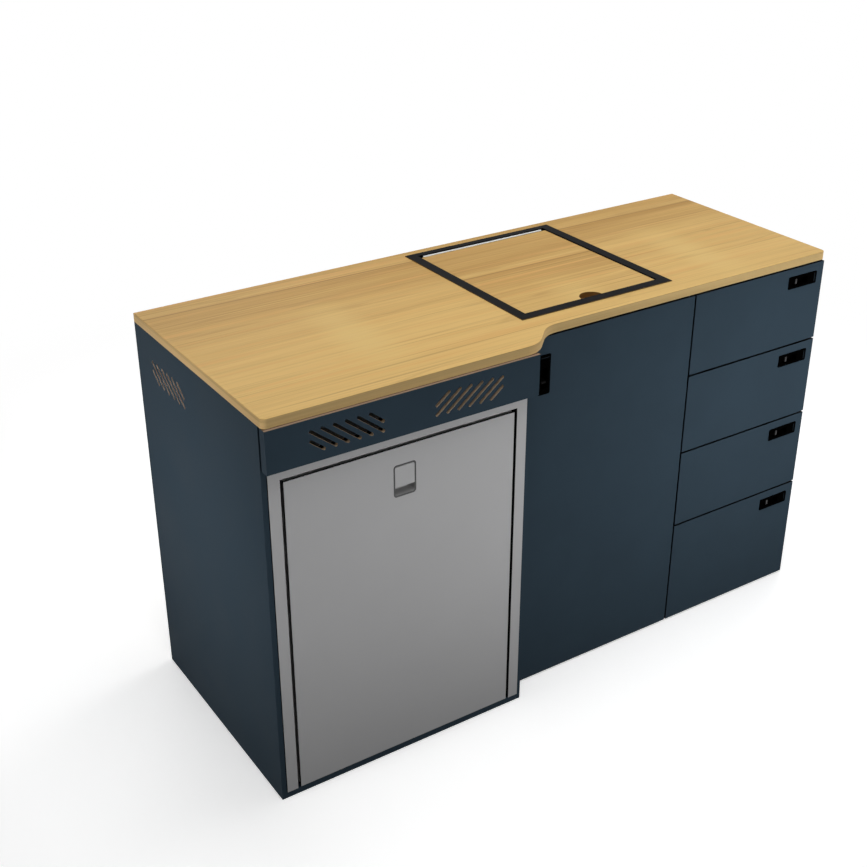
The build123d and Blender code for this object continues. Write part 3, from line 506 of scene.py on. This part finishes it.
def dress_valance():
    low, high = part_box("vent_valance")
    valance = laminate("navy_valance", slot_walls("vent_valance", 1), 1, raw_ply, low[1])
    spot = valance.spot()
    behind = valance.span(spot[1], low[1] + strip_depth, low[1] + strip_depth + strip_fade)
    strip = valance.blend(behind, linear(strip_tan), linear(strip_dark))
    valance.paint(valance.math("GREATER_THAN", spot[2], high[2] - strip_skin), strip)
    dress(valance, "vent_valance")


def dress_side_panel():
    side_vents = slot_walls("left_side_panel", 0)

    def side_bare(made):
        return made.either(side_vents(made), hidden_edges(made))

    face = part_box("left_side_panel")[0][0]
    # Painted light: the side panel's bare plywood uses the paler copy
    dress(laminate("navy_side", side_bare, 0, side_ply_painted_light, face), "left_side_panel")


def dress_laminates():
    dress_valance()
    dress_side_panel()
    dress(laminate("navy_uprights", hidden_edges), "fridge_divider", "centre_divider", "right_side_panel")
    dress(laminate("navy_base", hidden_edges, 2), "base_panel")
    fronts = laminate("navy_fronts")
    fronts.paint(fronts.across(1), linear(edge_black))
    dress(fronts, "cupboard_door", *[f"drawer_{number}_front" for number in drawer_numbers])


# Birch plywood, in metres
half_board = 0.009
rail_slack = 0.001
birch_long = 0.11
birch_short = 0.016
birch_cloud = dict(detail=4.0, rough=0.6, twist=0.8)
birch_fibre = dict(cell=(0.0025, 0.0025, 0.033), detail=2.0)
birch_fuzz = dict(cell=0.002, detail=2.0)
birch_cloud_weight = 0.7
birch_fibre_weight = 0.3
birch_shades = (0.86, 1.02)
birch_glue_range = (-0.2, 0.6)
birch_roughness = 0.55
birch_specular = 0.25
birch_relief = 0.0001
birch_relief_strength = 0.3
rim_depth = 0.002
rim_facing_range = (0.7, 0.8)


def ply_edge(made, depth):
    """The layers and their glue lines on a cut edge."""
    glue = made.span(ply_wave(made, depth), *birch_glue_range)
    return made.blend(glue, linear(birch), linear(birch_glue))


def ply_look(made, thin_axis):
    """Pale rotary grain on the faces and layers on the edges, with the fibres for a bump."""
    grain = [birch_long, birch_long, birch_long]
    grain[2 if thin_axis != 2 else 1] = birch_short
    cloud = made.noise(tuple(grain), **birch_cloud)
    fibres = made.noise(**birch_fibre)
    tone = made.total(0.0, (cloud, birch_cloud_weight), (fibres, birch_fibre_weight))
    face = made.shades(made.span(tone, *bold_range), birch, birch_shades)
    edge = ply_edge(made, made.spot()[thin_axis])
    return made.blend(made.across(thin_axis), face, edge), fibres


def plywood(name, thin_axis):
    """Birch plywood of one thickness direction."""
    made = Recipe(name, roughness=birch_roughness, specular=birch_specular)
    look, fibres = ply_look(made, thin_axis)
    made.colour(look)
    made.bump(fibres, birch_relief, birch_relief_strength)
    return made


def rail_plywood(name):
    """Plywood of the rails: the front one over the fridge lies flat, the rest stand on edge."""
    made = plywood(name, 2)
    flat = made.shader.inputs["Base Color"].links[0].from_socket
    upright = ply_look(made, 1)[0]
    spot = made.spot()
    over_fridge = made.math("LESS_THAN", spot[0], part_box("fridge_divider")[1][0])
    rear_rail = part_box("carcass_rails")[1][1] - 2 * half_board - rail_slack
    ahead = made.math("LESS_THAN", spot[1], rear_rail)
    made.colour(made.blend(made.both(over_fridge, ahead), upright, flat))
    return made


def box_plywood(name, node):
    """Plywood of a drawer box: the layers on a top edge follow the nearest outer face."""
    made = Recipe(name, roughness=birch_roughness, specular=birch_specular)
    low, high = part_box(node)
    spot = made.spot()
    depth = made.math("SUBTRACT", spot[0], low[0])
    depth = made.math("MINIMUM", depth, made.math("SUBTRACT", high[0], spot[0]))
    depth = made.math("MINIMUM", depth, made.math("SUBTRACT", spot[1], low[1]))
    depth = made.math("MINIMUM", depth, made.math("SUBTRACT", high[1], spot[1]))
    cloud = made.noise((birch_long, birch_long, birch_short), **birch_cloud)
    face = made.shades(made.span(cloud, *noise_range), birch, birch_shades)
    on_top = made.span(made.facing()[2], *rim_facing_range)
    at_rim = made.math("GREATER_THAN", spot[2], high[2] - rim_depth)
    made.colour(made.blend(made.both(on_top, at_rim), face, ply_edge(made, depth)))
    made.bump(made.noise(**birch_fuzz), birch_relief, birch_relief_strength)
    return made


def dress_wood():
    dress(plywood("ply_back", 1), "back_panel")
    dress(plywood("ply_flat", 2), "cupboard_shelf")
    dress(rail_plywood("ply_rails"), "carcass_rails")
    for number in drawer_numbers:
        name = f"drawer_{number}_box"
        dress(box_plywood(f"ply_{name}", name), name)
    dress(oak("oak_top", top_line, top_flames, top_shift, worktop_edge), "worktop")
    dress(oak("oak_lid", lid_line, lid_flames, lid_shift, lid_edge), "sink_lid")


# Coats: paint, enamel and moulded plastic, with grit and height in metres
coat_cloud = 0.16
coat_relief_strength = 0.5
coat_rough_shares = (0.9, 1.1)
trim_coat = dict(colour=trim_black, roughness=0.6, specular=0.03, grit=0.0014)
pipe_coat = dict(colour=pipe_black, roughness=0.35, specular=0.4, grit=0.004, height=0.0001)
enamel_coat = dict(colour=enamel, roughness=0.5, specular=0.08, grit=0.003, height=0.00006, swing=0.015)
collar_coat = dict(colour=black, roughness=0.8, specular=0.02)
liner_coat = dict(colour=white_plastic, roughness=0.45, specular=0.12, grit=0.004,
                  height=0.00004, swing=0.01)
seal_coat = dict(colour=seal_black, roughness=0.7, specular=0.05)
flap_coat = dict(colour=flap_grey, roughness=0.5, specular=0.08, grit=0.002, swing=0.015)
cup_coat = dict(colour=cup_grey, roughness=0.6, specular=0.08, grit=0.002)
foam_coat = dict(colour=foam_cream, roughness=0.9, specular=0.1, grit=0.0011, height=0.0004)
latch_coat = dict(colour=black, roughness=0.6, specular=0.0, grit=0.0012, swing=0.04)
lever_coat = dict(colour=lever_grey, roughness=0.3, specular=0.4, grit=0.0016)
dark_lever_coat = dict(colour=black, roughness=0.6, specular=0.05, grit=0.0016)


def coated(name, colour, roughness, specular=0.5, grit=0.0024, height=0.00005, swing=0.05):
    """Paint, enamel or moulded plastic: one colour with faint clouds and a fine skin."""
    made = Recipe(name, roughness, specular=specular)
    share = made.span(made.noise(coat_cloud), *noise_range)
    made.colour(made.shades(share, colour, (1 - swing, 1 + swing)))
    made.rough(made.span(share, 0.0, 1.0, *[roughness * end for end in coat_rough_shares]))
    made.bump(made.noise(grit, detail=2.0), height, coat_relief_strength)
    return made


# Bare metals: each one's lines have cells in metres
metal_line = dict(detail=3.0, rough=0.6)
metal_cloud = 0.11
metal_line_weight = 0.5
metal_cloud_weight = 0.5
metal_shades = (0.88, 1.05)
metal_rough_shares = (0.8, 1.25)
metal_relief = 0.00004
metal_relief_strength = 0.4
hinge_metal = dict(colour=steel, roughness=0.30, line=(0.12, 0.0014, 0.0014))
zinc_metal = dict(colour=zinc, roughness=0.38, line=0.017)
bowl_metal = dict(colour=steel, roughness=0.26, line=(0.08, 0.002, 0.002))
plate_metal = dict(colour=alloy, roughness=0.42, line=(0.0033, 0.033, 0.033))
screw_metal = dict(colour=zinc, roughness=0.32, line=0.0012)


def brushed(name, colour, roughness, line):
    """Bare metal with fine lines along one axis."""
    made = Recipe(name, roughness, metallic=1.0)
    lines = made.noise(line, **metal_line)
    tone = made.total(0.0, (lines, metal_line_weight), (made.noise(metal_cloud), metal_cloud_weight))
    made.colour(made.shades(made.span(tone, *bold_range), colour, metal_shades))
    made.rough(made.span(lines, *noise_range, *[roughness * end for end in metal_rough_shares]))
    made.bump(lines, metal_relief, metal_relief_strength)
    return made


# Sink: the lid's hinge is painted black as the frame's shadow behind this place from its axis, and its
# frame has a painted brown shadow along its outer edge
hinge_shadow_start = -0.0013
trim_shadow_width = 0.0006


def hinge():
    """The lid's hinge: bright steel in front, and painted black as the frame's shadow along the back of
    its barrel.
    """
    made = brushed("hinge_steel", **hinge_metal)
    axis = (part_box("lid_hinge_moving_leaf")[0][1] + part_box("lid_hinge_fixed_leaf")[1][1]) / 2
    # Painted shadow: black over the back of the barrel
    made.paint(made.math("GREATER_THAN", made.spot()[1], axis + hinge_shadow_start), linear(trim_black))
    return made


def trim():
    """The black frame round the lid, with a painted brown shadow along its outer edges on the left and in
    front.
    """
    made = coated("trim_anodised", **trim_coat)
    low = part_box("lid_trim_frame")[0]
    spot = made.spot()
    left = made.math("LESS_THAN", spot[0], low[0] + trim_shadow_width)
    front = made.math("LESS_THAN", spot[1], low[1] + trim_shadow_width)
    # Painted shadow: brown along the outer left and front edges
    made.paint(made.both(made.either(left, front), made.across(2)), linear(trim_shadow_brown))
    return made


def dress_metals():
    dress(brushed("zinc_plate", **zinc_metal), "worktop_screws", "runner_channels",
          "latch_strikes", "door_pivot_brackets", "fridge_hinge_brackets",
          *[f"drawer_{number}_slides" for number in drawer_numbers])
    dress(hinge(), "lid_hinge_fixed_leaf", "lid_hinge_moving_leaf")
    dress(brushed("bowl_steel", **bowl_metal), "sink_bowl", "sink_waste")
    dress(brushed("cold_plate", **plate_metal), "evaporator")
    dress(trim(), "lid_trim_frame")
    dress(coated("pipe_enamel", **pipe_coat), "condenser", "compressor")


# Fridge: the gap round its door, painted black as shade; how far it reaches onto the door and out from it
door_rim_shade = 0.0010
gap_shade_reach = 0.0055
cup_rim = 0.0006

# Clear plastic of the door racks
clear_haze = dict(cell=0.025, detail=2.0)
clear_shades = (0.96, 1.0)
clear_roughness = 0.12
clear_rough_range = (0.08, 0.18)
clear_alpha = 0.42


def clear_plastic(name):
    made = Recipe(name, roughness=clear_roughness)
    haze = made.noise(**clear_haze)
    made.colour(made.shades(haze, clear_tint, clear_shades))
    made.rough(made.span(haze, *noise_range, *clear_rough_range))
    made.shader.inputs["Alpha"].default_value = clear_alpha
    return made


def near_door(made, reach):
    """A mask: one inside the fridge door's outline, grown by the reach."""
    low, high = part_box("fridge_door_skin")
    spot = made.spot()
    inside = 1.0
    for axis in (0, 2):
        above = made.math("GREATER_THAN", spot[axis], low[axis] - reach)
        below = made.math("LESS_THAN", spot[axis], high[axis] + reach)
        inside = made.both(inside, made.both(above, below))
    return inside


def door_enamel():
    """The fridge door's skin, with its rim painted black as the gap's shade."""
    made = coated("door_enamel", **enamel_coat)
    rim = made.math("SUBTRACT", 1.0, near_door(made, -door_rim_shade))
    made.paint(made.either(made.across(1), rim), linear(black))
    return made


def frame_enamel():
    """The fridge's front frame, painted black as shade where it lines the gap."""
    made = coated("frame_enamel", **enamel_coat)
    made.paint(made.either(made.across(1), near_door(made, gap_shade_reach)), linear(black))
    return made


def cup():
    """The handle's recess: mid grey rim, and the well under the flap painted paler as light against its
    shade.
    """
    made = coated("cup_plastic", **cup_coat)
    spot = made.spot()
    under = made.math("LESS_THAN", spot[2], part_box("fridge_handle_flap")[0][2])
    inside = made.math("GREATER_THAN", spot[1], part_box("fridge_handle_cup")[0][1] + cup_rim)
    # Painted light: the well under the flap is made paler
    made.paint(made.both(under, inside), linear(cup_well_painted_light))
    return made


def dress_fridge():
    dress(door_enamel(), "fridge_door_skin")
    dress(frame_enamel(), "fridge_frame")
    dress(coated("case_enamel", **enamel_coat), "fridge_case")
    dress(coated("collar_black", **collar_coat), "fridge_collar", "valance_clips")
    dress(coated("liner_white", **liner_coat), "fridge_liner", "fridge_door_core", "fridge_shelves")
    dress(clear_plastic("rack_clear"), "fridge_door_racks")
    dress(coated("seal_rubber", **seal_coat), "fridge_door_seal")
    dress(coated("flap_plastic", **flap_coat), "fridge_handle_flap")
    dress(cup(), "fridge_handle_cup")
    dress(coated("foam_core", **foam_coat), "fridge_insulation")


# Latches: the thin groove across each housing, with a painted highlight along it, in metres from its low
# end
latch_groove_place = 0.0775
latch_groove_half = 0.0009
latch_groove_inset = 0.004


def latch_housing(name, axis):
    """A latch's black housing along one axis, with a painted highlight along the groove across it."""
    made = coated(f"{name}_black", **latch_coat)
    low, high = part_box(f"{name}_housing")
    spot = made.spot()
    other = 2 - axis
    along = made.math("SUBTRACT", spot[axis], low[axis] + latch_groove_place)
    groove = made.math("LESS_THAN", made.math("ABSOLUTE", along), latch_groove_half)
    aside = made.math("SUBTRACT", spot[other], middle(low, high, other))
    half_width = (high[other] - low[other]) / 2 - latch_groove_inset
    inside = made.math("LESS_THAN", made.math("ABSOLUTE", aside), half_width)
    # Painted highlight: a lighter grey line along the groove
    made.paint(made.both(groove, inside), linear(groove_highlight_grey))
    return made


def dress_latches():
    dress(latch_housing("door_latch", 2), "door_latch_housing")
    dress(coated("latch_lever_black", **dark_lever_coat), "door_latch_slider")
    lever = coated("latch_lever", **lever_coat)
    for number in drawer_numbers:
        name = f"drawer_{number}_latch"
        dress(latch_housing(name, 0), f"{name}_housing")
        dress(lever, f"{name}_slider")


# Screw heads: their size in metres, and the rings of a head as shares of radius and rise
screw_radius = 0.0024
screw_rise = 0.0007
screw_recess = 0.0005
screw_sides = 24
screw_bar_share = 0.62
screw_waist_share = 0.22
screw_floor_share = 1 - screw_recess / screw_rise
screw_ring_shares = ((1.0, 0.0), (0.97, 0.45), (0.80, 0.90), (None, 1.0), (None, screw_floor_share))

# Screws on the drawer boxes, the strikes and the lid's hinge, in metres
drawer_board = 0.012
drawer_screw_inset = 0.060
drawer_screw_shares = (0.35, 0.75)
strike_plate = 0.0012
strike_screw_rise = 0.0105
hinge_screw_count = 5
hinge_screw_place = 0.0045
hinge_leaf = 0.0012


def screw_ring(place, across, up, out, share, height):
    """A ring of points, or a cross-shaped one where the share is none."""
    points = []
    for number in range(screw_sides):
        angle = 2 * math.pi * number / screw_sides
        reach = share
        if share is None:
            on_bar = number % (screw_sides // 4) == 0
            reach = screw_bar_share if on_bar else screw_waist_share
        radius = screw_radius * reach
        side = across * (radius * math.cos(angle)) + up * (radius * math.sin(angle))
        points.append(place + side + out * height)
    return points


def add_screw(points, faces, place, out):
    """A domed head with a cross recess, whose seat is at the place."""
    out = Vector(out)
    across = out.orthogonal().normalized()
    up = out.cross(across)
    start = len(points)
    for share, height in screw_ring_shares:
        points.extend(screw_ring(Vector(place), across, up, out, share, height * screw_rise))
    for ring in range(len(screw_ring_shares) - 1):
        for number in range(screw_sides):
            a = start + ring * screw_sides + number
            b = start + ring * screw_sides + (number + 1) % screw_sides
            faces.append((a, b, b + screw_sides, a + screw_sides))
    last = start + (len(screw_ring_shares) - 1) * screw_sides
    faces.append(tuple(range(last, last + screw_sides)))
    faces.append(tuple(range(start + screw_sides - 1, start - 1, -1)))


def add_screws(name, body, places, made):
    """One piece that holds a body's screw heads: each place is a point and a direction."""
    points = []
    faces = []
    for place, out in places:
        add_screw(points, faces, place, out)
    mesh = bpy.data.meshes.new(name)
    mesh.from_pydata(points, [], faces)
    mesh.materials.append(made.material)
    piece = bpy.data.objects.new(name, mesh)
    scene.collection.objects.link(piece)
    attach(piece, body)


def drawer_places(number):
    """Four screws inside a drawer box, through its front board."""
    low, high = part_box(f"drawer_{number}_box")
    y = low[1] + drawer_board
    places = []
    for x in (low[0] + drawer_screw_inset, high[0] - drawer_screw_inset):
        for share in drawer_screw_shares:
            places.append(((x, y, low[2] + share * (high[2] - low[2])), (0, 1, 0)))
    return places


def strike_places():
    """Two screws on each drawer's strike, above and below the bolt's hole."""
    strikes = nodes["latch_strikes"].data
    face_x = max(vertex.co.x for vertex in strikes.vertices) - strike_plate
    places = []
    for number in drawer_numbers:
        low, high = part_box(f"drawer_{number}_latch_slider")
        y = (low[1] + 3 * high[1]) / 4
        z = middle(low, high, 2)
        for side in (-1, 1):
            places.append(((face_x, y, z + side * strike_screw_rise), (-1, 0, 0)))
    return places


def hinge_places(name, out):
    """A row of screws along one leaf of the lid's hinge."""
    low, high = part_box(name)
    pitch = (high[0] - low[0]) / hinge_screw_count
    y = high[1] - hinge_leaf if out < 0 else low[1] + hinge_leaf
    z = low[2] + hinge_screw_place
    places = []
    for number in range(hinge_screw_count):
        x = low[0] + pitch * number + pitch / 2
        places.append(((x, y, z), (0, out, 0)))
    return places


def fit_screws():
    """Screw heads on the drawer boxes, the strikes and the lid's hinge."""
    made = brushed("screw_zinc", **screw_metal)
    for number in drawer_numbers:
        add_screws(f"drawer_{number}_screws", f"drawer_{number}", drawer_places(number), made)
    add_screws("strike_screws", "carcass", strike_places(), made)
    for leaf, body, out in (("fixed_leaf", "carcass", -1), ("moving_leaf", "sink_lid", 1)):
        name = f"lid_hinge_{leaf}"
        add_screws(f"{name}_screws", body, hinge_places(name, out), made)


# Floor, in metres from the middle of the object
floor_reach = 30.0
floor_fade_near = 1.25
floor_fade_far = 2.3
floor_glow = 0.462


def pale_floor():
    """A white floor that keeps the object's shadow and fades to plain white far away."""
    mesh = bpy.data.meshes.new("floor")
    size = floor_reach
    corners = [(-size, -size, 0), (size, -size, 0), (size, size, 0), (-size, size, 0)]
    mesh.from_pydata(corners, [], [(0, 1, 2, 3)])
    floor = bpy.data.objects.new("floor", mesh)
    scene.collection.objects.link(floor)
    made = Recipe("floor_white", roughness=1.0, specular=0.0)
    path = made.add("ShaderNodeLightPath")
    seen = made.either(path.outputs["Is Camera Ray"], path.outputs["Is Glossy Ray"])
    seen = made.either(seen, path.outputs["Is Transmission Ray"])
    made.colour(made.blend(seen, linear(floor_bounce), linear(floor_white)))
    near_glow = made.add("ShaderNodeEmission")
    made.link(made.math("MULTIPLY", seen, floor_glow), near_glow.inputs["Strength"])
    near = made.add("ShaderNodeAddShader")
    made.link(made.shader.outputs[0], near.inputs[0])
    made.link(near_glow.outputs[0], near.inputs[1])
    far_glow = made.add("ShaderNodeEmission")
    distance = made.add("ShaderNodeVectorMath")
    distance.operation = "LENGTH"
    made.link(made.coordinates("Object"), distance.inputs[0])
    far = made.span(distance.outputs["Value"], floor_fade_near, floor_fade_far, smooth=True)
    join = made.add("ShaderNodeMixShader")
    made.link(made.both(far, seen), join.inputs[0])
    made.link(near.outputs[0], join.inputs[1])
    made.link(far_glow.outputs[0], join.inputs[2])
    made.link(join.outputs[0], made.output.inputs[0])
    mesh.materials.append(made.material)


# Room light: how strongly the room itself lights the object
world_strength = 0.090
world_white = (1, 1, 1, 1)


def soft_world():
    """Dim even light for the object, plain white where the camera or a reflection sees it."""
    world = bpy.data.worlds.new("room")
    world.use_nodes = True
    tree = world.node_tree
    tree.nodes.clear()
    output = tree.nodes.new("ShaderNodeOutputWorld")
    dim = tree.nodes.new("ShaderNodeBackground")
    dim.inputs["Color"].default_value = world_white
    dim.inputs["Strength"].default_value = world_strength
    white = tree.nodes.new("ShaderNodeBackground")
    white.inputs["Color"].default_value = world_white
    path = tree.nodes.new("ShaderNodeLightPath")
    seen = path.outputs["Is Camera Ray"]
    for name in ("Is Glossy Ray", "Is Transmission Ray"):
        either = tree.nodes.new("ShaderNodeMath")
        either.operation = "MAXIMUM"
        tree.links.new(seen, either.inputs[0])
        tree.links.new(path.outputs[name], either.inputs[1])
        seen = either.outputs[0]
    join = tree.nodes.new("ShaderNodeMixShader")
    tree.links.new(seen, join.inputs[0])
    tree.links.new(dim.outputs[0], join.inputs[1])
    tree.links.new(white.outputs[0], join.inputs[2])
    tree.links.new(join.outputs[0], output.inputs[0])
    scene.world = world


# Each lamp: name, place, width, height, aim, spread in degrees, watts
lamps = (
    ("lamp_over_front", (-0.9, -1.2, 2.9), 0.8, 1.1, (-0.9, -1.2, 0), 180, 12.4),
    ("lamp_over", (-0.1, -0.1, 2.9), 0.8, 1.1, (-0.1, -0.1, 0), 180, 17.7),
    ("lamp_over_right", (0.7, 0.3, 2.9), 0.8, 1.6, (0.7, 0.3, 0), 180, 8.3),
    ("lamp_far_right", (2.3, 1.0, 2.9), 0.8, 1.1, (2.3, 1.0, 0), 180, 22.1),
    ("lamp_back", (0.4, 3.0, 2.0), 1.8, 1.6, (0, 0, 0.45), 180, 13.9),
    ("lamp_front_high", (0.3, -2.8, 2.4), 1.6, 1.2, (0, 0, 0.45), 180, 5.0),
    ("lamp_left", (-2.2, 0.0, 0.95), 1.0, 0.7, (-0.689, 0.05, 0.62), 50, 0.84),
    ("lamp_left_low", (-2.4, -0.05, 0.75), 0.6, 0.4, (-0.689, 0.05, 0.48), 36, 0.52),
    ("lamp_right", (2.3, 0.0, 0.75), 1.0, 0.7, (0.689, 0.0, 0.5), 50, 1.2),
    ("lamp_back_low", (0.0, 2.5, 0.6), 1.4, 0.6, (0.0, 0.275, 0.42), 70, 3.4),
    ("lamp_front_left", (-0.62, -2.2, 1.0), 0.9, 0.6, (-0.50, -0.25, 0.54), 45, 1.02),
    ("lamp_front_right", (0.75, -2.2, 0.9), 0.9, 0.6, (0.62, -0.25, 0.54), 45, 2.8),
)


def soft_lamps():
    for name, place, width, height, aim, spread, watts in lamps:
        light = bpy.data.lights.new(name, "AREA")
        light.shape = "RECTANGLE"
        light.size = width
        light.size_y = height
        light.energy = watts
        light.spread = math.radians(spread)
        lamp = bpy.data.objects.new(name, light)
        scene.collection.objects.link(lamp)
        lamp.location = place
        lamp.rotation_euler = (Vector(aim) - Vector(place)).to_track_quat("-Z", "Y").to_euler()
        lamp.visible_camera = False


def photo_camera():
    data = bpy.data.cameras.new("camera")
    data.lens = camera_lens
    data.sensor_width = camera_sensor
    camera = bpy.data.objects.new("camera", data)
    scene.collection.objects.link(camera)
    camera.location = camera_place
    camera.rotation_euler = (math.radians(camera_tilt), 0, math.radians(camera_turn))
    scene.camera = camera


scene.view_settings.view_transform = "Standard"
photo_camera()
soft_world()
soft_lamps()
pale_floor()
dress_laminates()
dress_wood()
dress_metals()
dress_fridge()
dress_latches()
fit_screws()
